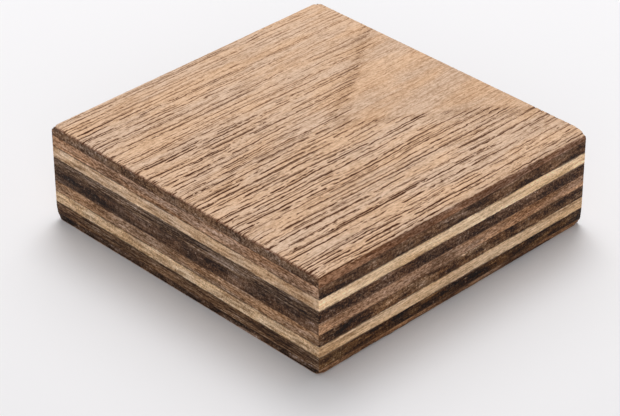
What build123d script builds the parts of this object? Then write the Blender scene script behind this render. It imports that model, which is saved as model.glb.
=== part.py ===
"""Sample block of nine-ply hardwood plywood.

A small square of 18 mm board: sawn straight through across the face grain at its two
ends, and sanded by hand along its two long-grain edges. The sanding is uneven: the near
top arris is almost sharp at one saw cut and opens into a broad round at the other. The
block lies flat. X runs along the grain of the face veneer, Y runs across it and Z is up.
The origin is the centre of the bottom face. All sizes are in millimetres.
"""
import os

from build123d import *

# Outline of the block, seen from above
block_length = 60.8  # along the face grain, from the left saw cut to the right one
block_width = 62.7  # across the face grain, from the near edge to the far one

# Thickness of the veneers after pressing and sanding
face_thickness = 1.8  # show veneer on top
crossband_thickness = 2.1  # each ply whose grain runs along Y
longband_thickness = 2.2  # each inner ply whose grain runs along X
back_thickness = 1.2  # thin veneer underneath

# Sanded arrises of the long-grain edges. Each is a quarter of an ellipse that reaches in
# from the edge (inset) and up or down the edge's height (rise or drop), and each runs
# evenly from its size at the left saw cut to its size at the right one.
near_top_inset_left = 0.7
near_top_drop_left = 0.5
near_top_inset_right = 3.1
near_top_drop_right = 1.4
far_top_inset_left = 0.8
far_top_drop_left = 0.8
far_top_inset_right = 0.4
far_top_drop_right = 0.2
near_bottom_inset_left = 0.3
near_bottom_rise_left = 0.6
near_bottom_inset_right = 0.6
near_bottom_rise_right = 4.4
far_bottom_inset_left = 1.3
far_bottom_rise_left = 3.0
far_bottom_inset_right = 0.6
far_bottom_rise_right = 0.8

# The sawn ends keep their square arris, only rubbed over by hand
end_ease = 0.15

# Lay-up of the board from the bottom up; the grain turns by a right angle at every glue line
lay_up = [
    ("back_veneer", back_thickness),
    ("lower_crossband", crossband_thickness),
    ("lower_pale_ply", longband_thickness),
    ("lower_inner_crossband", crossband_thickness),
    ("centre_ply", longband_thickness),
    ("upper_inner_crossband", crossband_thickness),
    ("upper_pale_ply", longband_thickness),
    ("upper_crossband", crossband_thickness),
    ("face_veneer", face_thickness),
]
board_thickness = sum(thickness for name, thickness in lay_up)

# What sanding takes off reaches this far clear of the board while it is cut away
waste_margin = 2.0
quarter_turn = 90


def corner_waste(place, side, up, inset, reach):
    """Draws the waste that sanding takes off one corner of the board's section.

    Args:
        place: where the section stands along X.
        side: -1 for the near edge and 1 for the far edge.
        up: 1 for the top face and -1 for the bottom face.
        inset: how far the arris reaches in across the face.
        reach: how far it reaches along the edge's height.

    Returns:
        The sketch of the waste.
    """
    edge = side * block_width / 2
    face = board_thickness if up > 0 else 0
    inner = edge - side * inset
    level = face - up * reach
    quarter = {(1, 1): 0, (-1, 1): 1, (-1, -1): 2, (1, -1): 3}[side, up]
    with BuildSketch(Plane.YZ.offset(place)) as waste:
        with BuildLine():
            EllipticalCenterArc(
                (inner, level), inset, reach, start_angle=quarter * quarter_turn, arc_size=quarter_turn
            )
            Polyline(
                (inner, face),
                (inner, face + up * waste_margin),
                (edge + side * waste_margin, face + up * waste_margin),
                (edge + side * waste_margin, level),
                (edge, level),
            )
        make_face()
    return waste.sketch


# Each arris with its side, its face, and its size at the left and the right saw cut
arrises = [
    (-1, 1, (near_top_inset_left, near_top_drop_left), (near_top_inset_right, near_top_drop_right)),
    (1, 1, (far_top_inset_left, far_top_drop_left), (far_top_inset_right, far_top_drop_right)),
    (-1, -1, (near_bottom_inset_left, near_bottom_rise_left), (near_bottom_inset_right, near_bottom_rise_right)),
    (1, -1, (far_bottom_inset_left, far_bottom_rise_left), (far_bottom_inset_right, far_bottom_rise_right)),
]

os.makedirs("parts", exist_ok=True)

# The glued board: sawn square, its sawn arrises rubbed over, and then its long-grain
# arrises sanded away, each as a sliver lofted from saw cut to saw cut so that it tapers
with BuildPart() as board:
    Box(block_length, block_width, board_thickness, align=(Align.CENTER, Align.CENTER, Align.MIN))
    saw_cuts = board.faces().filter_by(Axis.X)
    chamfer(saw_cuts.edges(), length=end_ease)
    for side, up, left, right in arrises:
        left_waste = corner_waste(-block_length / 2, side, up, *left)
        right_waste = corner_waste(block_length / 2, side, up, *right)
        loft([left_waste, right_waste], ruled=True, mode=Mode.SUBTRACT)

# Each veneer is the layer of the board between two glue lines
glue_line = 0.0
for ply_name, ply_thickness in lay_up:
    with BuildPart() as ply:
        add(board.part)
        with Locations((0, 0, glue_line)):
            Box(
                block_length,
                block_width,
                ply_thickness,
                align=(Align.CENTER, Align.CENTER, Align.MIN),
                mode=Mode.INTERSECT,
            )
    ply.part.label = ply_name
    export_step(ply.part, f"parts/{ply_name}.step")
    glue_line += ply_thickness
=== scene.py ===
"""Looks of the plywood sample block: nine open-pored hardwood veneers in a plain pale studio.

Every veneer is carved as a mesh of its own from the board's tapering section, with its
vessels, fibres and torn arrises as real relief, and is dressed by the same wood figure
that carved it. Lengths are in millimetres, as a joiner writes them, until a mesh is made.
"""

import logging
from dataclasses import dataclass, replace
from enum import Enum

import bpy
import numpy as np
from mathutils import Matrix, Vector


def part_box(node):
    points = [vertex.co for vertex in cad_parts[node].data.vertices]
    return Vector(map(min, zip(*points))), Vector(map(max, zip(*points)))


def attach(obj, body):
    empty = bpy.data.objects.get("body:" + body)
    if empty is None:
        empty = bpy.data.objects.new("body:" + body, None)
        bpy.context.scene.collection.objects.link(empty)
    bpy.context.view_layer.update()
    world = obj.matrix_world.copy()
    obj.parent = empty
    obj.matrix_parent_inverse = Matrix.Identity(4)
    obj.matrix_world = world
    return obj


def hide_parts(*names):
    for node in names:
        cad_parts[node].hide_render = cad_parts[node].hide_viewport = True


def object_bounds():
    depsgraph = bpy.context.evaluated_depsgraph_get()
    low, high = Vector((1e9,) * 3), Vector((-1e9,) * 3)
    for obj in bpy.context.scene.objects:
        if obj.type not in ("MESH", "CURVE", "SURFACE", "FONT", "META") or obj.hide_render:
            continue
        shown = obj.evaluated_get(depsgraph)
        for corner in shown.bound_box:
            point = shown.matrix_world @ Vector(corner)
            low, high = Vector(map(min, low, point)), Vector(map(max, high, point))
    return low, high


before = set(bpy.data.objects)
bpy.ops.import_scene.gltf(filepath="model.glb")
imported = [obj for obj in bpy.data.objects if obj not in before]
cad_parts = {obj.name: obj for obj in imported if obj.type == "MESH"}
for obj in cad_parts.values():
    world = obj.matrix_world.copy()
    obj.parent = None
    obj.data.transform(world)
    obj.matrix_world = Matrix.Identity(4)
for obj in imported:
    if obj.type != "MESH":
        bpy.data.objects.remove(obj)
cad_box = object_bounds()

log = logging.getLogger("plywood sample")

MM = 0.001
PLACE = "place"
OUTWARD = "outward"
BAKE_MAP = "OFBake"

NUMBER = "NodeSocketFloat"
ARROW = "NodeSocketVector"

Colour = tuple[float, float, float]
Socket = bpy.types.NodeSocket
Pair = tuple[np.ndarray, np.ndarray]


class TreeKind(Enum):
    """The two kinds of node tree that the wood figure is laid in."""

    SHADER = "ShaderNodeTree"
    GEOMETRY = "GeometryNodeTree"


class Grain(Enum):
    """Which way the fibres of a veneer run."""

    ALONG_X = "along the face grain"
    ALONG_Y = "across the face grain"


class Skin(Enum):
    """What of a veneer lies open besides its edges."""

    EDGES_ONLY = "edges"
    TOP = "top"
    BOTTOM = "bottom"


def srgb(red: int, green: int, blue: int) -> Colour:
    """Turns a colour of 0 to 255 a channel, as seen on a screen, into linear light."""
    return tuple(
        value / 12.92 if value <= 0.04045 else ((value + 0.055) / 1.055) ** 2.4
        for value in (red / 255, green / 255, blue / 255)
    )


@dataclass(frozen=True)
class Lumps:
    """Soft noise: the size of a lump along X, Y and Z, and the number and strength of octaves."""

    size: tuple[float, float, float]
    octaves: float
    strength: float


def stand(name: str, data: bpy.types.ID) -> bpy.types.Object:
    """Stands a mesh, a lamp or a camera in the scene.

    Args:
        name: the new object's name.
        data: what it is.

    Returns:
        The object.
    """
    thing = bpy.data.objects.new(name, data)
    bpy.context.scene.collection.objects.link(thing)
    return thing


class Bench:
    """Lays nodes into one tree and joins them up."""

    def __init__(self, tree: bpy.types.NodeTree) -> None:
        """Starts on a tree."""
        self.tree = tree

    def add(self, kind: str, *values: object, **settings: object) -> bpy.types.Node:
        """Adds a node, sets its options and feeds its inputs in their order.

        Args:
            kind: Blender's name of the node.
            values: output sockets, numbers or vectors for the first inputs.
            settings: the node's options by name.

        Returns:
            The new node.
        """
        node = self.tree.nodes.new(kind)
        for name, value in settings.items():
            setattr(node, name, value)
        for socket, value in zip(node.inputs, values):
            self.feed(socket, value)
        return node

    def feed(self, socket: Socket, value: object) -> None:
        """Links a socket to another one, or sets it to a plain value.

        Args:
            socket: the input to feed.
            value: an output socket, a number or a vector.
        """
        if isinstance(value, bpy.types.NodeSocket):
            self.tree.links.new(value, socket)
        else:
            socket.default_value = value

    def math(self, operation: str, *values: object, clamp: bool = False) -> Socket:
        """Works out one number from others, by Blender's name of the sum."""
        return self.add("ShaderNodeMath", *values, operation=operation, use_clamp=clamp).outputs[0]

    def times(self, *values: object) -> Socket:
        """Multiplies two or more numbers."""
        answer = values[0]
        for value in values[1:]:
            answer = self.math("MULTIPLY", answer, value)
        return answer

    def line(self, value: object, slope: object, start: object) -> Socket:
        """Multiplies a number by a slope and adds that to a start."""
        return self.math("MULTIPLY_ADD", value, slope, start)

    def minus(self, first: object, second: object) -> Socket:
        """Takes the second number away from the first."""
        return self.math("SUBTRACT", first, second)

    def less(self, value: object) -> Socket:
        """Takes a number away from 1."""
        return self.minus(1.0, value)

    def vector(self, operation: str, *values: object) -> Socket:
        """Works out one vector from others, by Blender's name of the sum."""
        return self.add("ShaderNodeVectorMath", *values, operation=operation).outputs["Vector"]

    def split(self, vector: Socket) -> tuple[Socket, Socket, Socket]:
        """Takes a vector apart into its three numbers."""
        return tuple(self.add("ShaderNodeSeparateXYZ", vector).outputs)

    def join(self, x: object, y: object, z: object) -> Socket:
        """Makes a vector of three numbers."""
        return self.add("ShaderNodeCombineXYZ", x, y, z).outputs[0]

    def noise(self, place: Socket, lumps: Lumps, output: str | int = 0) -> Socket:
        """Reads soft noise, centred on a half.

        Args:
            place: where to read it, in millimetres.
            lumps: the noise.
            output: 0 for one number, or Color for three.

        Returns:
            The noise's socket.
        """
        node = self.add("ShaderNodeTexNoise", noise_dimensions="3D")
        self.feed(node.inputs["Vector"], self.vector("DIVIDE", place, lumps.size))
        self.feed(node.inputs["Scale"], 1.0)
        self.feed(node.inputs["Detail"], lumps.octaves)
        self.feed(node.inputs["Roughness"], lumps.strength)
        return node.outputs[output]

    def rise(self, value: object, low: object, high: object) -> Socket:
        """Goes smoothly from 0 to 1 as a value passes from low to high."""
        steps = {"interpolation_type": "SMOOTHSTEP"}
        return self.add("ShaderNodeMapRange", value, low, high, **steps).outputs["Result"]

    def fall(self, value: object, low: object, high: object) -> Socket:
        """Goes smoothly from 1 to 0 as a value passes from low to high."""
        return self.less(self.rise(value, low, high))

    def blend(self, share: object, first: object, second: object) -> Socket:
        """Mixes two colours.

        Args:
            share: how much of the second colour shows.
            first: the colour at a share of 0.
            second: the colour at a share of 1.

        Returns:
            The mixed colour's socket.
        """
        node = self.add("ShaderNodeMix", share, data_type="RGBA", blend_type="MIX")
        for name, colour in (("A", first), ("B", second)):
            socket = [s for s in node.inputs if s.name == name and s.type == "RGBA"][0]
            self.feed(socket, (*colour, 1.0) if isinstance(colour, tuple) else colour)
        return [s for s in node.outputs if s.type == "RGBA"][0]

    def group(self, tree: bpy.types.NodeTree, **values: object) -> bpy.types.Node:
        """Places a node group and feeds its inputs.

        Args:
            tree: the group's tree.
            values: the inputs by name, with underscores for spaces.

        Returns:
            The group's node.
        """
        kind = "ShaderNodeGroup" if tree.bl_idname == TreeKind.SHADER.value else "GeometryNodeGroup"
        node = self.add(kind, node_tree=tree)
        for name, value in values.items():
            self.feed(node.inputs[name.replace("_", " ").capitalize()], value)
        return node


class Pattern(Bench):
    """A node group with named inputs and outputs, laid once in one kind of tree."""

    name = "pattern"
    takes: dict[str, str] = {}
    gives: tuple[str, ...] = ()

    def __init__(self, kind: TreeKind) -> None:
        """Makes the group and lays its nodes.

        Args:
            kind: shader or geometry.
        """
        super().__init__(bpy.data.node_groups.new(f"{self.name} {kind.name.lower()}", kind.value))
        sides = ("INPUT", self.takes), ("OUTPUT", dict.fromkeys(self.gives, NUMBER))
        for side, sockets in sides:
            for name, sort in sockets.items():
                self.tree.interface.new_socket(name=name, in_out=side, socket_type=sort)
        answers = self.lay(self.add("NodeGroupInput").outputs)
        gives = self.add("NodeGroupOutput").inputs
        for name, answer in answers.items():
            self.feed(gives[name], answer)

    def lay(self, read: object) -> dict[str, Socket]:
        """Lays the pattern's nodes from the group's inputs, and gives its answers by name."""
        raise NotImplementedError


@dataclass(frozen=True)
class VesselRow:
    """One set of vessels: shares of the timber's spacing and width, where shut, how strong."""

    apart: float
    wide: float
    shut: float
    depth: float
    stain: float


class WoodFigure(Pattern):
    """The grain of one hardwood as a figure in space, with the fibres along its own X.

    Vessels stand side by side across the face and wander a little. Along the grain each
    opens and closes again, so a face shows long thin streaks, and an end shows dots.
    """

    name = "wood figure"
    sizes = ("Vessel width", "Vessel spacing", "Vessel share", "Wander")
    takes = {"Place": ARROW} | dict.fromkeys(sizes, NUMBER)
    gives = ("Vessels", "Halo", "Fibre", "Speckle", "Grit", "Layers", "Patches", "Hue")
    noises = {
        "Fibre": Lumps((5.0, 0.36, 0.24), 3.0, 0.7),
        "Speckle": Lumps((1.6, 0.5, 0.42), 3.0, 0.75),
        "Layers": Lumps((11.0, 4.5, 0.4), 3.0, 0.65),
        "Patches": Lumps((13.0, 8.0, 1.9), 3.0, 0.6),
        "Hue": Lumps((20.0, 5.0, 2.2), 3.0, 0.6),
    }
    grit = Lumps((0.6, 0.24, 0.2), 1.0, 0.6)
    slow_wander = Lumps((13.0, 6.0, 7.0), 2.0, 0.5)
    quick_wander = Lumps((1.7, 0.7, 0.7), 2.0, 0.6)
    quick_reach = (0.0, 0.55, 0.2)
    upward_wander = 0.35
    rows = (VesselRow(1.0, 1.0, 0.42, 1.0, 1.0), VesselRow(0.55, 0.65, 0.48, 0.65, 0.4))
    openings = Lumps((9.0, 1.0, 0.16), 3.0, 0.55)
    shuffle = 90.0
    unevenness = 0.9
    closing = 0.08
    size_spread, least_size = 0.8, 0.6
    # Shares of a vessel's radius; the second number of a pair is millimetres on top
    wall_inside = 0.6
    wall_outside = (1.2, 0.002)
    halo_reach = (2.2, 0.1)

    def lay(self, read: object) -> dict[str, Socket]:
        """Lays the vessels, the fibres, the speckle of end grain, the layers and the patches."""
        place = self.wandering_place(read["Place"], read["Wander"])
        vessels, halos = zip(*(self.vessels(read, place, row) for row in self.rows))
        answers = {name: self.noise(place, lumps) for name, lumps in self.noises.items()}
        answers["Grit"] = self.noise(read["Place"], self.grit)
        answers["Vessels"] = self.math("MAXIMUM", *vessels)
        answers["Halo"] = self.math("MAXIMUM", *halos)
        return answers

    def wandering_place(self, place: Socket, wander: Socket) -> Socket:
        """Bends the grain a little, so that no streak is ruled straight.

        Args:
            place: the place in millimetres.
            wander: how far the grain strays across, in millimetres.

        Returns:
            The bent place.
        """
        slow_reach = self.join(0.0, wander, self.times(wander, self.upward_wander))
        shifts = []
        for lumps, reach in ((self.slow_wander, slow_reach), (self.quick_wander, self.quick_reach)):
            off = self.vector("SUBTRACT", self.noise(place, lumps, "Color"), (0.5, 0.5, 0.5))
            shifts.append(self.vector("MULTIPLY", off, reach))
        return self.vector("ADD", place, self.vector("ADD", *shifts))

    def vessels(self, read: object, place: Socket, row: VesselRow) -> tuple[Socket, Socket]:
        """Finds how deep in a vessel a place lies, and how near to one.

        Args:
            read: the group's inputs.
            place: the bent place in millimetres.
            row: the set of vessels.

        Returns:
            How deep it lies in a vessel, and how deep in the stained wood round one.
        """
        spacing = self.times(read["Vessel spacing"], row.apart)
        x, y, z = self.split(place)
        cells = self.add("ShaderNodeTexVoronoi", voronoi_dimensions="1D", feature="F1")
        self.feed(cells.inputs["W"], self.math("DIVIDE", y, spacing))
        self.feed(cells.inputs["Scale"], 1.0)
        self.feed(cells.inputs["Randomness"], self.unevenness)
        distance = self.times(cells.outputs["Distance"], spacing)
        first, second, _ = self.split(cells.outputs["Color"])
        run = self.join(x, self.times(first, self.shuffle), z)
        opening = self.rise(self.noise(run, self.openings), row.shut, row.shut + self.closing)
        size = self.line(second, self.size_spread, self.least_size)
        radius = self.times(read["Vessel width"], 0.5 * row.wide, size)
        radius = self.times(radius, read["Vessel share"], opening)
        inner = self.times(radius, self.wall_inside)
        inside = self.fall(distance, inner, self.line(radius, *self.wall_outside))
        around = self.fall(distance, 0.0, self.line(radius, *self.halo_reach))
        return self.times(inside, opening, row.depth), self.times(around, opening, row.stain)


class CathedralFigure(Pattern):
    """The pointed arch on the show face, where the peeler's knife just met a growth ring."""

    name = "cathedral figure"
    takes = {"Place": ARROW}
    gives = ("Inside", "Border")
    tip = (5.2, -1.1)
    spread = 0.68
    bluntness = 0.9
    bends, bend_reach = Lumps((16.0, 12.0, 9.0), 1.0, 0.5), 4.0
    rags, rag_reach = Lumps((5.0, 0.9, 4.0), 4.0, 0.7), 8.0
    # Millimetres past the arch's line along X; below 0 is outside the arch
    border_start = (-6.08, -1.14)
    border_end = (-0.5, 1.0)
    inside_start = (-0.8, 1.2)

    def lay(self, read: object) -> dict[str, Socket]:
        """Lays the arch: its smooth inside, and the dense dark border round it."""
        x, y, _ = self.split(read["Place"])
        bent = self.minus(self.noise(read["Place"], self.bends), 0.5)
        ragged = self.minus(self.noise(read["Place"], self.rags), 0.5)
        off = self.minus(self.line(bent, self.bend_reach, y), self.tip[1])
        squared = self.line(off, off, self.bluntness**2)
        arch = self.math("DIVIDE", self.math("SQRT", squared), self.spread)
        depth = self.minus(self.minus(x, self.tip[0]), arch)
        depth = self.math("ADD", depth, self.bluntness / self.spread)
        depth = self.line(ragged, self.rag_reach, depth)
        outer = self.rise(depth, *self.border_start)
        border = self.times(outer, self.fall(depth, *self.border_end))
        return {"Inside": self.rise(depth, *self.inside_start), "Border": border}


class ArrisWear(Pattern):
    """How near an arris and a corner of the block are, and how torn the left top arris is."""

    name = "arris wear"
    takes = {"Place": ARROW, "Half length": NUMBER, "Half width": NUMBER, "Thickness": NUMBER}
    gives = ("Nearness", "Torn", "Fringe", "Corner")
    arris_reach = 0.7
    corner_reach = 1.3
    torn_reach = 0.9
    chips, chipped, chip_fade = Lumps((0.9, 0.5, 0.6), 3.0, 0.65), (0.45, 0.62), 1.6
    tufts, tufted, tuft_lift = Lumps((1.6, 0.3, 0.8), 3.0, 0.65), (0.85, 1.2), 0.7

    def lay(self, read: object) -> dict[str, Socket]:
        """Lays the wear: near an arris two faces are near, and near a corner all three are."""
        x, y, z = self.split(read["Place"])
        from_cut = self.minus(read["Half length"], self.math("ABSOLUTE", x))
        from_side = self.minus(read["Half width"], self.math("ABSOLUTE", y))
        under_face = self.minus(read["Thickness"], z)
        from_face = self.math("MINIMUM", z, under_face)
        nearer = self.math("MINIMUM", from_cut, from_side)
        farther = self.math("MAXIMUM", from_cut, from_side)
        second = self.math("MAXIMUM", nearer, self.math("MINIMUM", farther, from_face))
        third = self.math("MAXIMUM", farther, from_face)
        from_left = self.math("ADD", read["Half length"], x)
        on_cut = self.fall(self.math("MAXIMUM", from_left, under_face), 0.0, self.torn_reach)
        chips = self.rise(self.noise(read["Place"], self.chips), *self.chipped)
        tufts = self.line(on_cut, self.tuft_lift, self.noise(read["Place"], self.tufts))
        return {
            "Nearness": self.fall(second, 0.0, self.arris_reach),
            "Torn": self.times(chips, self.math("POWER", on_cut, self.chip_fade)),
            "Fringe": self.rise(tufts, *self.tufted),
            "Corner": self.fall(third, 0.0, self.corner_reach),
        }


class GlueSmear(Pattern):
    """The dark glue that shows at a veneer's two glue lines, wider in some places."""

    name = "glue smear"
    takes = {"Place": ARROW, "Low": NUMBER, "High": NUMBER, "Reach": NUMBER}
    gives = ("Smear",)
    waves = Lumps((1.0, 1.0, 1.2), 3.0, 0.65)
    swells, swell_share = Lumps((9.0, 9.0, 3.0), 1.0, 0.5), 0.8
    wet = (0.66, 1.2)
    widening, least_reach = 2.4, 0.02
    solid_share = 0.3

    def lay(self, read: object) -> dict[str, Socket]:
        """Lays the smear along both glue lines."""
        _, _, z = self.split(read["Place"])
        away = self.math("MINIMUM", self.minus(z, read["Low"]), self.minus(read["High"], z))
        wavy, slow = (self.noise(read["Place"], lumps) for lumps in (self.waves, self.swells))
        wavy = self.rise(self.line(slow, self.swell_share, wavy), *self.wet)
        reach = self.line(self.times(read["Reach"], wavy), self.widening, self.least_reach)
        return {"Smear": self.fall(away, self.times(reach, self.solid_share), reach)}


@dataclass(frozen=True)
class Wood:
    """One veneer's timber: its colours on each cut, and the strength of its figure."""

    name: str
    side: Colour
    end: Colour
    vessel: Colour = srgb(44, 27, 16)
    face: Colour | None = None
    fleck: Colour = srgb(166, 152, 142)
    warm: Colour = (1.08, 0.98, 0.86)
    cool: Colour = (0.94, 0.99, 1.11)
    glue: Colour = srgb(72, 50, 38)
    glue_reach: float = 0.12
    glue_strength: float = 0.55
    vessel_width: float = 0.2
    vessel_spacing: float = 0.85
    vessel_strength: float = 0.45
    pore_strength: float = 0.12
    halo_strength: float = 0.18
    face_vessel_strength: float = 1.0
    fleck_strength: float = 0.45
    fibre_contrast: float = 3.0
    speckle_contrast: float = 10.0
    grit_contrast: float = 5.5
    layer_contrast: float = 2.4
    patch_contrast: float = 3.6
    end_mottle: float = 2.0
    wander: float = 1.1
    roughness: float = 0.75
    relief: float = 0.06


@dataclass(frozen=True)
class Arris:
    """One sanded long arris: how far it reaches in, and along the edge, at either saw cut."""

    inset_left: float
    reach_left: float
    inset_right: float
    reach_right: float

    def at(self, share: float) -> tuple[float, float]:
        """Gives the inset and the reach at a share of the way from the left cut to the right."""
        inset = self.inset_left + (self.inset_right - self.inset_left) * share
        return inset, self.reach_left + (self.reach_right - self.reach_left) * share


@dataclass(frozen=True)
class Section:
    """The board's section across the face grain, which tapers from saw cut to saw cut."""

    length: float
    width: float
    thickness: float
    near_top: Arris = Arris(0.7, 0.5, 3.1, 1.4)
    far_top: Arris = Arris(0.8, 0.8, 0.4, 0.2)
    near_bottom: Arris = Arris(0.3, 0.6, 0.6, 4.4)
    far_bottom: Arris = Arris(1.3, 3.0, 0.6, 0.8)
    arc_steps: int = 41

    def arrises(self, sign: int) -> tuple[Arris, Arris]:
        """Gives the bottom and top arris of the near edge (-1) or the far edge (1)."""
        return (self.near_bottom, self.near_top) if sign < 0 else (self.far_bottom, self.far_top)

    def wall(self, sign: int, share: float, low: float, high: float, steps: int) -> Pair:
        """Traces one long edge between two heights, or from the middle of an open arris.

        Args:
            sign: -1 for the near edge and 1 for the far edge.
            share: how far along the board, from 0 at the left saw cut to 1 at the right.
            low: height of the lower glue line, or 0 for the open bottom.
            high: height of the upper glue line, or the thickness for the open top.
            steps: how many steps to divide the trace into.

        Returns:
            The points (y, z) and the outward normals there.
        """
        bottom, top = self.arrises(sign)
        (low_inset, low_reach), (high_inset, high_reach) = bottom.at(share), top.at(share)
        turn = np.linspace(0, np.pi / 2, self.arc_steps)
        half = self.width / 2
        y = np.r_[half - low_inset * (1 - np.sin(turn)), half - high_inset * (1 - np.cos(turn))]
        z = np.r_[low_reach * (1 - np.cos(turn)), self.thickness - high_reach * (1 - np.sin(turn))]
        middle = 1 - np.sqrt(0.5)
        halfway = (low + high) / 2
        start = min(low_reach * middle, halfway) if low <= 0 else low
        upper = self.thickness - high_reach * middle
        stop = max(upper, halfway) if high >= self.thickness else high
        inner = (z > start) & (z < stop)
        path_z = np.r_[start, z[inner], stop]
        path_y = np.interp(path_z, z, y)
        run = np.r_[0, np.cumsum(np.hypot(np.diff(path_y), np.diff(path_z)))]
        even = np.linspace(0, run[-1], steps + 1)
        points = np.column_stack([np.interp(even, run, path_y), np.interp(even, run, path_z)])
        along = np.gradient(points, axis=0)
        normals = np.column_stack([along[:, 1], -along[:, 0]])
        normals /= np.linalg.norm(normals, axis=1)[:, None]
        return points * (sign, 1), normals * (sign, 1)

    def face_drop(self, share: float, y: np.ndarray, top: bool) -> np.ndarray:
        """Tells how far the arrises take the top or bottom face away from its flat level.

        Args:
            share: how far along the board.
            y: the places across the board.
            top: whether it is the top face.

        Returns:
            The drop at each place.
        """
        drop = np.zeros_like(y)
        for sign in (-1, 1):
            inset, reach = self.arrises(sign)[int(top)].at(share)
            into = np.clip((inset - self.width / 2 + sign * y) / inset, 0, 1)
            drop += reach * (1 - np.sqrt(1 - into**2))
        return drop


@dataclass(frozen=True)
class SkinPlan:
    """A veneer's mesh steps, in millimetres, and where its skin lies on the square bake map."""

    step_along: float
    step_across: float
    step_up: float
    strip: float
    rim_floor: float
    face_strip: tuple[float, float] = (0.17, 0.996)
    margin: float = 0.004
    rim_pitch: float = 0.025
    rim_size: tuple[float, float] = (0.99, 0.02)


SKIN_PLANS = {
    Skin.EDGES_ONLY: SkinPlan(0.33, 0.1, 0.1, strip=0.23, rim_floor=0.945),
    Skin.TOP: SkinPlan(0.36, 0.14, 0.13, strip=0.03, rim_floor=0.14),
    Skin.BOTTOM: SkinPlan(0.5, 0.2, 0.13, strip=0.03, rim_floor=0.14),
}


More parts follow.
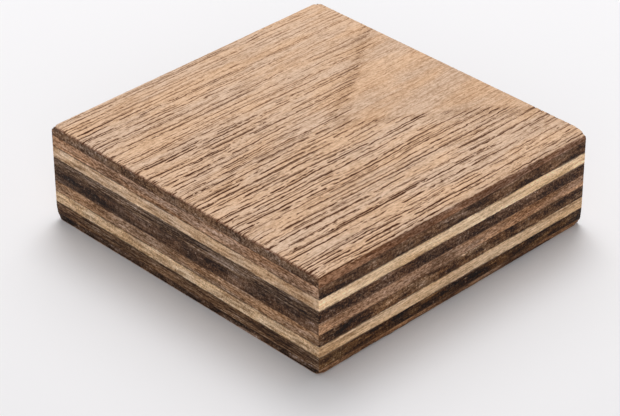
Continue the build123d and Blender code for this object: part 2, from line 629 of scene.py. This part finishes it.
@dataclass
class Veneer:
    """One ply of the board, with its open surfaces carved."""

    node: str
    wood: Wood
    grain: Grain
    section: Section
    skin: Skin = Skin.EDGES_ONLY
    seed: float = 0.0
    end_ease: float = 0.15
    ease_steps: tuple[float, ...] = (0.0, 0.2, 0.55)
    least_rows: int = 6

    def __post_init__(self) -> None:
        """Takes the veneer's own box from the frame, and divides it into its grid."""
        low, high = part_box(self.node)
        self.low, self.high = np.array(low) / MM, np.array(high) / MM
        self.plan = SKIN_PLANS[self.skin]
        steps = self.plan.step_along, self.plan.step_across
        self.step_x, step_y = steps if self.grain is Grain.ALONG_X else steps[::-1]
        height = self.high[2] - self.low[2]
        self.rows = max(self.least_rows, round(height / self.plan.step_up))
        self.columns = round(self.section.width / step_y)
        self.places, self.drawn_in = self.stations()
        self.shares = (self.places - self.places[0]) / (self.places[-1] - self.places[0])

    def stations(self) -> Pair:
        """Places the cross-sections along X, closer together at the saw cuts.

        Returns:
            Their places, and how far each is drawn in by the easing of the arris.
        """
        length = self.high[0] - self.low[0]
        ease = self.end_ease
        lead = ease * np.array(self.ease_steps)
        inner = np.linspace(ease, length - ease, round(length / self.step_x))
        runs = np.r_[lead, inner, length - lead[::-1]]
        short = np.clip(ease - np.minimum(runs, length - runs), 0, ease)
        return self.low[0] + runs, ease - np.sqrt(ease**2 - short**2)

    def walls(self) -> list[Pair]:
        """Traces the near and the far edge at every station.

        Returns:
            For each edge its points and its outward normals, by station and row.
        """
        low, high = self.low[2], self.high[2]
        edges = []
        for sign in (-1, 1):
            traced = [self.section.wall(sign, share, low, high, self.rows) for share in self.shares]
            points, normals = (np.array(part) for part in zip(*traced))
            points -= normals * self.drawn_in[:, None, None]
            if self.skin is not Skin.TOP:
                points[:, -1, 1] = high
            if self.skin is not Skin.BOTTOM:
                points[:, 0, 1] = low
            points[:, :, 1] = np.clip(points[:, :, 1], low, high)
            edges.append((points, normals))
        return edges

    def faces_between(self, near: np.ndarray, far: np.ndarray) -> list[np.ndarray]:
        """Works out the height of the veneer's bottom and top over the whole board.

        Args:
            near: the near edge's points.
            far: the far edge's points.

        Returns:
            The bottom and top heights, by station and column.
        """
        share = np.linspace(0, 1, self.columns + 1)
        faces = []
        for skin, row, sign in ((Skin.BOTTOM, 0, 1), (Skin.TOP, -1, -1)):
            level = (self.low if row == 0 else self.high)[2]
            heights = np.full((len(self.places), self.columns + 1), level)
            for k, along in enumerate(self.shares if self.skin is skin else ()):
                y = near[k, row, 0] * (1 - share) + far[k, row, 0] * share
                drop = self.section.face_drop(along, y, skin is Skin.TOP)
                heights[k] += sign * (drop + self.drawn_in[k])
                heights[k, 0], heights[k, -1] = near[k, row, 1], far[k, row, 1]
            faces.append(heights)
        return faces

    def lattice(self) -> tuple[np.ndarray, np.ndarray, np.ndarray]:
        """Works out the skin's points.

        Returns:
            The number of the point at each open place of the lattice, the points and
            their outward directions.
        """
        places, rows, columns = self.places, self.rows, self.columns
        (near, near_out), (far, far_out) = self.walls()
        low, high = self.faces_between(near, far)

        index = -np.ones((len(places), columns + 1, rows + 1), np.int64)
        index[:, (0, -1), :] = 0
        index[(0, -1), :, :] = 0
        if self.skin is not Skin.EDGES_ONLY:
            index[:, :, -1 if self.skin is Skin.TOP else 0] = 0
        used = np.argwhere(index == 0)
        index[tuple(used.T)] = np.arange(len(used))
        k, i, j = used.T
        share = i / columns
        y = near[k, j, 0] * (1 - share) + far[k, j, 0] * share
        levels = [
            (wall[:, :, 1] - wall[:, :1, 1]) / (wall[:, -1:, 1] - wall[:, :1, 1])
            for wall in (near, far)
        ]
        level = levels[0][k, j] * (1 - share) + levels[1][k, j] * share
        z = low[k, i] + level * (high[k, i] - low[k, i])
        points = np.column_stack([places[k], y, z])

        outward = np.zeros_like(points)
        outward[i == 0, 1:] += near_out[k[i == 0], j[i == 0]]
        outward[i == columns, 1:] += far_out[k[i == columns], j[i == columns]]
        outward[k == 0, 0] -= 1
        outward[k == len(places) - 1, 0] += 1
        for skin, row, sign, heights in ((Skin.TOP, rows, 1, high), (Skin.BOTTOM, 0, -1, low)):
            here = j == row
            if self.skin is skin:
                slope = np.gradient(heights, axis=1) / (self.section.width / columns)
                outward[here, 1] -= sign * slope[k[here], i[here]]
                outward[here, 2] += sign
            else:
                outward[here, 2] = 0
        outward /= np.linalg.norm(outward, axis=1)[:, None]
        return index, points, outward

    def sheets(self, index: np.ndarray) -> list[tuple[np.ndarray, bool, tuple[float, float]]]:
        """Picks the open sheets of the lattice.

        Args:
            index: the number of the point at each place of the lattice.

        Returns:
            For each sheet its points, whether it has to be turned to face out, and the
            bottom and top of its strip of the bake map.
        """
        deep, margin = self.plan.strip, self.plan.margin
        cuts = ((index[:, 0], False), (index[:, -1], True), (index[0], True), (index[-1], False))
        sheets = []
        for number, (cut, flip) in enumerate(cuts):
            start = margin + number * (deep + margin)
            sheets.append((cut, flip, (start, start + deep)))
        if self.skin is Skin.TOP:
            sheets.append((index[:, :, -1], False, self.plan.face_strip))
        if self.skin is Skin.BOTTOM:
            sheets.append((index[:, :, 0], True, self.plan.face_strip))
        return sheets

    def mesh(self) -> bpy.types.Mesh:
        """Builds the closed skin of the veneer.

        Returns:
            The mesh, with the undisturbed place and the outward direction at each vertex.
        """
        index, points, outward = self.lattice()
        margin = self.plan.margin
        quads, maps = [], []
        for sheet, flip, (low, high) in self.sheets(index):
            rows, columns = sheet.shape
            u, v = np.linspace(margin, 1 - margin, rows), np.linspace(low, high, columns)
            chart = np.stack(np.meshgrid(u, v, indexing="ij"), axis=-1)
            walk = ((0, 0), (1, 0), (1, 1), (0, 1))[:: -1 if flip else 1]
            corners = [(slice(a, rows - 1 + a), slice(b, columns - 1 + b)) for a, b in walk]
            quads.append(np.stack([sheet[corner] for corner in corners], axis=-1).reshape(-1, 4))
            maps.append(np.stack([chart[corner] for corner in corners], axis=2).reshape(-1, 2))
        quads = np.vstack(quads)
        rims = self.rims(index)
        low, high = points[:, :2].min(axis=0), points[:, :2].max(axis=0)
        for number, rim in enumerate(rims):
            share = (points[rim, :2] - low) / (high - low)
            start = margin, self.plan.rim_floor + self.plan.rim_pitch * number
            maps.append(start + share * self.plan.rim_size)

        mesh = bpy.data.meshes.new(self.node)
        mesh.vertices.add(len(points))
        mesh.vertices.foreach_set("co", (points * MM).astype(np.float32).ravel())
        counts = np.r_[np.full(len(quads), 4), [len(rim) for rim in rims]].astype(np.int32)
        loops = np.concatenate([quads.ravel(), *rims]).astype(np.int32)
        mesh.loops.add(len(loops))
        mesh.loops.foreach_set("vertex_index", loops)
        mesh.polygons.add(len(counts))
        starts = np.r_[0, np.cumsum(counts)[:-1]].astype(np.int32)
        mesh.polygons.foreach_set("loop_start", starts)
        mesh.polygons.foreach_set("use_smooth", counts == 4)
        mesh.update(calc_edges=True)
        bake_map = mesh.uv_layers.new(name=BAKE_MAP)
        bake_map.data.foreach_set("uv", np.vstack(maps).astype(np.float32).ravel())
        for name, values in ((PLACE, points), (OUTWARD, outward)):
            attribute = mesh.attributes.new(name, "FLOAT_VECTOR", "POINT")
            attribute.data.foreach_set("vector", values.astype(np.float32).ravel())
        return mesh

    def rims(self, index: np.ndarray) -> list[np.ndarray]:
        """Rounds up the points that border each glued face, in the order that faces it out."""
        hidden = {Skin.EDGES_ONLY: (0, -1), Skin.TOP: (0,), Skin.BOTTOM: (-1,)}[self.skin]
        rims = []
        for row in hidden:
            layer = index[:, :, row]
            rim = np.r_[layer[:-1, 0], layer[-1, :-1], layer[:0:-1, -1], layer[0, :0:-1]]
            rims.append(rim if row else rim[::-1])
        return rims


class Figures:
    """The wood figure, the arch and the wear, laid in one kind of tree."""

    seed_stride = (3.1, 1.0, 0.7)
    drift = Lumps((26.0, 7.0, 9.0), 1.0, 0.5)
    drift_share, least_share = 0.9, 0.6
    diagonal_slope = -0.009
    arch_closing = -0.75
    border_opening = 0.15

    def __init__(self, kind: TreeKind) -> None:
        """Lays the three groups."""
        self.wood, self.arch, self.wear = WoodFigure(kind), CathedralFigure(kind), ArrisWear(kind)

    def read(self, bench: Bench, place: Socket, veneer: Veneer) -> tuple[object, ...]:
        """Places the groups with one veneer's values.

        Args:
            bench: where to lay the nodes.
            place: the place in the block's frame.
            veneer: the ply.

        Returns:
            The outputs of the wood figure, of the wear and of the arch, and how open the
            vessels are: on the show face less inside the arch, and most at the near left
            corner of the block.
        """
        wood, section = veneer.wood, veneer.section
        x, y, z = bench.split(place)
        arch, share = None, 1.0
        if veneer.skin is Skin.TOP:
            arch = bench.group(self.arch.tree, place=place).outputs
            share = bench.line(bench.noise(place, self.drift), self.drift_share, self.least_share)
            share = bench.line(bench.math("ADD", x, y), self.diagonal_slope, share)
            share = bench.times(share, bench.line(arch["Inside"], self.arch_closing, 1.0))
            share = bench.line(arch["Border"], self.border_opening, share)
        turned = (x, y, z) if veneer.grain is Grain.ALONG_X else (y, x, z)
        seed = tuple(veneer.seed * stride for stride in self.seed_stride)
        figure = bench.group(
            self.wood.tree,
            place=bench.vector("ADD", bench.join(*turned), seed),
            vessel_width=wood.vessel_width,
            vessel_spacing=wood.vessel_spacing,
            vessel_share=share,
            wander=wood.wander,
        )
        wear = bench.group(
            self.wear.tree,
            place=place,
            half_length=section.length / 2,
            half_width=section.width / 2,
            thickness=section.thickness,
        )
        return figure.outputs, wear.outputs, arch, share


class Relief:
    """The carving of a veneer's open surfaces, as geometry nodes."""

    fibre_depth = 0.03
    speckle_depth = 0.04
    lean_range = (0.25, 0.75)
    arris_deepening = 2.0
    torn_depth = 0.25
    corner_depth, corner_fade = 0.4, 1.5

    def __init__(self) -> None:
        """Lays the shared groups in geometry trees."""
        self.figures = Figures(TreeKind.GEOMETRY)

    def carve(self, piece: bpy.types.Object, veneer: Veneer) -> None:
        """Presses the vessels, fibres and torn arrises into a piece, and applies the result.

        Args:
            piece: the veneer's object.
            veneer: its sizes and timber.
        """
        tree = bpy.data.node_groups.new(f"relief {veneer.node}", TreeKind.GEOMETRY.value)
        for direction in ("INPUT", "OUTPUT"):
            tree.interface.new_socket(
                name="Geometry", in_out=direction, socket_type="NodeSocketGeometry"
            )
        bench = Bench(tree)
        takes, gives = bench.add("NodeGroupInput"), bench.add("NodeGroupOutput")
        place, outward = self.named(bench, PLACE), self.named(bench, OUTWARD)
        figure, wear, _, _ = self.figures.read(bench, place, veneer)
        on_face = bench.math("ABSOLUTE", bench.split(outward)[2])
        depth = bench.times(figure["Vessels"], veneer.wood.relief, on_face)
        if veneer.skin is Skin.TOP:
            depth = bench.times(depth, bench.line(wear["Nearness"], self.arris_deepening, 1.0))
        for output, reach in (("Fibre", self.fibre_depth), ("Speckle", self.speckle_depth)):
            depth = bench.line(bench.rise(figure[output], *self.lean_range), reach, depth)
        depth = bench.line(wear["Torn"], self.torn_depth, depth)
        blunt = bench.math("POWER", wear["Corner"], self.corner_fade)
        depth = bench.line(blunt, self.corner_depth, depth)
        push = bench.vector("MULTIPLY", outward, bench.join(*(bench.times(depth, -MM),) * 3))
        mover = bench.add("GeometryNodeSetPosition", takes.outputs["Geometry"])
        bench.feed(mover.inputs["Offset"], push)
        bench.feed(gives.inputs["Geometry"], mover.outputs["Geometry"])
        piece.modifiers.new("relief", "NODES").node_group = tree
        depsgraph = bpy.context.evaluated_depsgraph_get()
        evaluated = piece.evaluated_get(depsgraph)
        carved = bpy.data.meshes.new_from_object(evaluated, depsgraph=depsgraph)
        piece.modifiers.clear()
        piece.data = carved

    @staticmethod
    def named(bench: Bench, name: str) -> Socket:
        """Reads a vector stored on the mesh."""
        kind = "GeometryNodeInputNamedAttribute"
        return bench.add(kind, name, data_type="FLOAT_VECTOR").outputs["Attribute"]


class Finish:
    """The materials of the veneers. A range names where a smooth step starts and ends."""

    end_grain_range = (0.5, 0.8)
    face_rim, face_rim_reach = Lumps((1.5, 0.5, 0.5), 2.0, 0.5), 0.3
    face_range = (0.86, 0.96)
    hue_range, face_hue_loss = (0.35, 0.65), 0.55
    fleck_range = (0.6, 0.72)
    halo_tint = (0.74, 0.54, 0.38)
    stain_gain = 0.82
    fringe, fringe_share = srgb(104, 60, 38), 0.7
    open_edge_range = (0.3, 0.6)
    vessel_roughness = 0.15
    specular = 0.25
    bump_depth, bump_strength = 0.06, 0.8
    vessel_bump, speckle_bump = -0.7, 0.8

    # How strong a noise is on a side cut, and what an end cut and an open face add to that
    fibre_shares = (1.0, -0.6, -0.55)
    speckle_shares = (0.12, 0.88, -0.05)
    grit_shares = (1.0, 0.0, -0.75)
    face_mottle = -0.75
    arch_shades = {"Border": -0.25, "Inside": -0.1}
    brightening = 0.5
    channel_pull = (0.8, 1.0, 1.25)

    def __init__(self) -> None:
        """Lays the shared groups in shader trees."""
        self.figures, self.glue = Figures(TreeKind.SHADER), GlueSmear(TreeKind.SHADER)

    def material(self, veneer: Veneer) -> bpy.types.Material:
        """Makes one veneer's material.

        Args:
            veneer: the ply.

        Returns:
            Its material.
        """
        wood = veneer.wood
        material = bpy.data.materials.new(f"{wood.name} {veneer.node}")
        material.use_nodes = True
        bench = Bench(material.node_tree)
        place, outward = (
            bench.add("ShaderNodeAttribute", attribute_name=name).outputs["Vector"]
            for name in (PLACE, OUTWARD)
        )
        out_x, out_y, out_z = bench.split(outward)
        upright = bench.math("ABSOLUTE", out_z)
        along = out_x if veneer.grain is Grain.ALONG_X else out_y
        end_grain = bench.rise(bench.math("ABSOLUTE", along), *self.end_grain_range)
        figure, wear, arch, share = self.figures.read(bench, place, veneer)

        colour = bench.blend(end_grain, wood.side, wood.end)
        on_face = 0.0
        if wood.face:
            rim = bench.line(bench.noise(place, self.face_rim), self.face_rim_reach, upright)
            on_face = bench.rise(rim, *self.face_range)
            colour = bench.blend(on_face, colour, wood.face)
        tint = bench.blend(bench.rise(figure["Hue"], *self.hue_range), wood.cool, wood.warm)
        tint = bench.blend(bench.times(on_face, self.face_hue_loss), tint, (1.0, 1.0, 1.0))
        colour = bench.vector("MULTIPLY", colour, tint)
        level = self.level(bench, wood, figure, arch, end_grain, on_face)
        colour = bench.vector("MULTIPLY", colour, level)
        speckle = bench.rise(figure["Speckle"], *self.fleck_range)
        colour = bench.blend(
            bench.times(speckle, end_grain, wood.fleck_strength), colour, wood.fleck
        )
        halo = bench.times(figure["Halo"], wood.halo_strength, bench.less(end_grain))
        colour = bench.blend(halo, colour, bench.vector("MULTIPLY", colour, self.halo_tint))
        strength = wood.vessel_strength
        for cut, its_own in ((end_grain, wood.pore_strength), (on_face, wood.face_vessel_strength)):
            strength = bench.line(cut, its_own - wood.vessel_strength, strength)
        stained = bench.math("MULTIPLY", share, self.stain_gain, clamp=True)
        vessels = bench.times(figure["Vessels"], strength, stained)
        colour = bench.blend(vessels, colour, wood.vessel)
        if veneer.skin is Skin.TOP:
            fringe = bench.times(wear["Fringe"], self.fringe_share)
            colour = bench.blend(fringe, colour, self.fringe)
        low, high = veneer.low[2], veneer.high[2]
        glue = bench.group(self.glue.tree, place=place, low=low, high=high, reach=wood.glue_reach)
        open_edge = bench.fall(upright, *self.open_edge_range)
        smear = bench.times(glue.outputs["Smear"], open_edge, wood.glue_strength)
        shader = material.node_tree.nodes["Principled BSDF"]
        bench.feed(shader.inputs["Base Color"], bench.blend(smear, colour, wood.glue))
        roughness = bench.line(figure["Vessels"], self.vessel_roughness, wood.roughness)
        bench.feed(shader.inputs["Roughness"], roughness)
        shader.inputs["Specular IOR Level"].default_value = self.specular
        bump = bench.add("ShaderNodeBump")
        bump.inputs["Strength"].default_value = self.bump_strength
        bump.inputs["Distance"].default_value = self.bump_depth * MM
        open_vessels = bench.times(figure["Vessels"], bench.less(end_grain))
        height = bench.line(open_vessels, self.vessel_bump, figure["Fibre"])
        bench.feed(bump.inputs["Height"], bench.line(figure["Speckle"], self.speckle_bump, height))
        bench.feed(shader.inputs["Normal"], bump.outputs["Normal"])
        return material

    def level(
        self, bench: Bench, wood: Wood, figure: object, arch: object, end: Socket, face: object
    ) -> Socket:
        """Works out how light or dark the wood is at a place.

        Args:
            bench: where to lay the nodes.
            wood: the timber.
            figure: the wood figure's outputs.
            arch: the arch's outputs, or None.
            end: 1 on a cut across the fibres.
            face: 1 on an open face, where the figure is quieter.

        Returns:
            What each channel of the colour is multiplied by: dark wood is also browner.
        """
        mottle = (1.0, wood.end_mottle, self.face_mottle)
        lean = 0.0
        for name, contrast, (on_side, on_end, on_face) in (
            ("Fibre", wood.fibre_contrast, self.fibre_shares),
            ("Speckle", wood.speckle_contrast, self.speckle_shares),
            ("Grit", wood.grit_contrast, self.grit_shares),
            ("Patches", wood.patch_contrast, mottle),
            ("Layers", wood.layer_contrast, mottle),
        ):
            share = bench.line(face, on_face, bench.line(end, on_end, on_side))
            swing = bench.times(bench.minus(figure[name], 0.5), contrast, share)
            lean = bench.math("ADD", lean, swing)
        if arch:
            for part, shade in self.arch_shades.items():
                lean = bench.line(arch[part], bench.times(face, shade), lean)
        lean = bench.math("MINIMUM", lean, bench.times(lean, self.brightening))
        pulled = (bench.times(lean, pull) for pull in self.channel_pull)
        return bench.join(*(bench.math("EXPONENT", value) for value in pulled))


@dataclass
class SampleBlock:
    """The nine veneers of the block, from the top down."""

    seed_step: float = 37.0

    def veneers(self) -> list[Veneer]:
        """Lists the veneers from the top down; the grain turns at every glue line.

        Returns:
            The veneers with their timbers.
        """
        section = Section(*((high - low) / MM for low, high in zip(*cad_box)))
        woods = self.lay_up()
        veneers = []
        open_faces = {0: Skin.TOP, len(woods) - 1: Skin.BOTTOM}
        for number, (node, wood) in enumerate(woods.items()):
            grain = Grain.ALONG_Y if number % 2 else Grain.ALONG_X
            skin = open_faces.get(number, Skin.EDGES_ONLY)
            seed = self.seed_step * (number + 1)
            veneers.append(Veneer(node, wood, grain, section, skin, seed))
        return veneers

    @staticmethod
    def lay_up() -> dict[str, Wood]:
        """Gives the timber of each veneer's node, from the top down."""
        face = Wood(
            "show veneer", srgb(150, 113, 87), srgb(113, 85, 62), srgb(76, 39, 14),
            face=srgb(217, 182, 151), halo_strength=0.45, fibre_contrast=2.8,
            layer_contrast=0.9, patch_contrast=1.6, glue_strength=0.3,
        )
        red = Wood("red-brown ply", srgb(176, 138, 107), srgb(86, 58, 36), end_mottle=2.6)
        pale = Wood(
            "pale ply", srgb(255, 221, 181), srgb(204, 171, 139), srgb(160, 120, 84),
            warm=(1.04, 0.99, 0.9), cool=(0.97, 0.99, 1.02), vessel_strength=0.3,
            halo_strength=0.1, fleck_strength=0.0, fibre_contrast=1.2, speckle_contrast=2.6,
            grit_contrast=1.8, layer_contrast=2.4, patch_contrast=1.0, end_mottle=1.2,
            glue_reach=0.16, glue_strength=0.75,
        )
        pale_low = replace(
            pale, side=srgb(216, 180, 142), end=srgb(214, 182, 147), fibre_contrast=2.0,
            grit_contrast=2.4, layer_contrast=3.2, patch_contrast=1.8, end_mottle=0.3,
        )
        swirl = Wood(
            "swirl ply", srgb(96, 73, 54), srgb(86, 57, 36), fibre_contrast=14.0,
            grit_contrast=7.0, layer_contrast=5.0, patch_contrast=7.5, end_mottle=0.2,
        )
        core = Wood("core ply", srgb(169, 130, 98), srgb(79, 54, 36), fibre_contrast=2.0)
        red_low = Wood(
            "red-brown ply", srgb(158, 124, 94), srgb(98, 67, 41), fibre_contrast=5.0,
            patch_contrast=4.5,
        )
        dark_low = Wood(
            "dark ply", srgb(103, 75, 51), srgb(71, 43, 19), fibre_contrast=13.0,
            layer_contrast=5.0, patch_contrast=7.0, end_mottle=1.4,
        )
        back = Wood(
            "back veneer", srgb(138, 101, 70), srgb(71, 48, 31), face=srgb(180, 146, 118),
            patch_contrast=8.0,
        )
        return {
            "face_veneer": face,
            "upper_crossband": red,
            "upper_pale_ply": pale,
            "upper_inner_crossband": swirl,
            "centre_ply": core,
            "lower_inner_crossband": red_low,
            "lower_pale_ply": pale_low,
            "lower_crossband": dark_low,
            "back_veneer": back,
        }

    def build(self) -> None:
        """Carves and dresses every veneer, and hands it to the frame."""
        relief, finish = Relief(), Finish()
        for veneer in self.veneers():
            piece = stand(f"{veneer.node}_carved", veneer.mesh())
            relief.carve(piece, veneer)
            piece.data.materials.clear()
            piece.data.materials.append(finish.material(veneer))
            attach(piece, "root")
            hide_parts(veneer.node)
            log.info("%s: %d faces", veneer.node, len(piece.data.polygons))


@dataclass(frozen=True)
class Lamp:
    """One round soft lamp: its bearing from +X and its height in degrees, sizes in metres."""

    name: str
    bearing: float
    height: float
    power: float
    size: float = 0.6
    distance: float = 0.8


@dataclass
class Studio:
    """The pale table, the soft light and the camera."""

    lamps: tuple[Lamp, ...] = (
        Lamp("high soft box", 45, 70, 2.9),
        Lamp("back soft box", 45, 46, 2.3),
        Lamp("front fill", 226, 15, 1.8),
    )
    room_colour: Colour = (1.0, 1.0, 1.0)
    room_strength: float = 0.32

    eye: tuple[float, float, float] = (-248.77, -255.08, 230.92)
    forward: tuple[float, float, float] = (0.58546706, 0.60500155, -0.53963084)
    upward: tuple[float, float, float] = (0.37819066, 0.3849481, 0.84189476)
    lens: float = 147.94
    sensor: float = 36.0
    clip: tuple[float, float] = (0.01, 20.0)
    table_colour: Colour = (0.91, 0.90, 0.915)
    table_half: float = 3000.0
    table_roughness: float = 0.9
    table_specular: float = 0.1

    def build(self) -> None:
        """Sets the table, the lamps, the sky and the camera."""
        self.set_table()
        self.hang_lamps()
        self.set_camera()

    def set_table(self) -> None:
        """Lays the pale table under the block."""
        half = self.table_half * MM
        mesh = bpy.data.meshes.new("table")
        corners = [(-half, -half, 0), (half, -half, 0), (half, half, 0), (-half, half, 0)]
        mesh.from_pydata(corners, [], [(0, 1, 2, 3)])
        table = stand("table", mesh)
        material = bpy.data.materials.new("pale table")
        material.use_nodes = True
        shader = material.node_tree.nodes["Principled BSDF"]
        shader.inputs["Base Color"].default_value = (*self.table_colour, 1)
        shader.inputs["Roughness"].default_value = self.table_roughness
        shader.inputs["Specular IOR Level"].default_value = self.table_specular
        mesh.materials.append(material)

    def hang_lamps(self) -> None:
        """Hangs the soft lamps round the block and lights the room evenly."""
        for lamp in self.lamps:
            light = bpy.data.lights.new(lamp.name, "AREA")
            light.shape, light.size, light.energy = "DISK", lamp.size, lamp.power
            holder = stand(lamp.name, light)
            turn, rise = np.radians([lamp.bearing, lamp.height])
            aim = Vector((np.cos(turn) * np.cos(rise), np.sin(turn) * np.cos(rise), np.sin(rise)))
            holder.location = aim * lamp.distance
            holder.rotation_mode = "QUATERNION"
            holder.rotation_quaternion = aim.to_track_quat("Z", "Y")
        world = bpy.data.worlds.new("room")
        world.use_nodes = True
        bpy.context.scene.world = world
        backdrop = world.node_tree.nodes["Background"]
        backdrop.inputs["Color"].default_value = (*self.room_colour, 1)
        backdrop.inputs["Strength"].default_value = self.room_strength

    def set_camera(self) -> None:
        """Stands the camera where the photograph was taken from."""
        data = bpy.data.cameras.new("camera")
        data.sensor_width, data.lens = self.sensor, self.lens
        data.clip_start, data.clip_end = self.clip
        camera = stand("camera", data)
        ahead, up = Vector(self.forward).normalized(), Vector(self.upward).normalized()
        right = ahead.cross(up).normalized()
        up = right.cross(ahead)
        turn = Matrix((right, up, -ahead)).transposed().to_4x4()
        camera.matrix_world = Matrix.Translation(Vector(self.eye) * MM) @ turn
        bpy.context.scene.camera = camera


def main() -> None:
    """Builds the block and the studio."""
    logging.basicConfig(level=logging.INFO, format="%(message)s")
    bpy.context.scene.view_settings.view_transform = "Standard"
    SampleBlock().build()
    Studio().build()


if __name__ == "__main__":
    main()
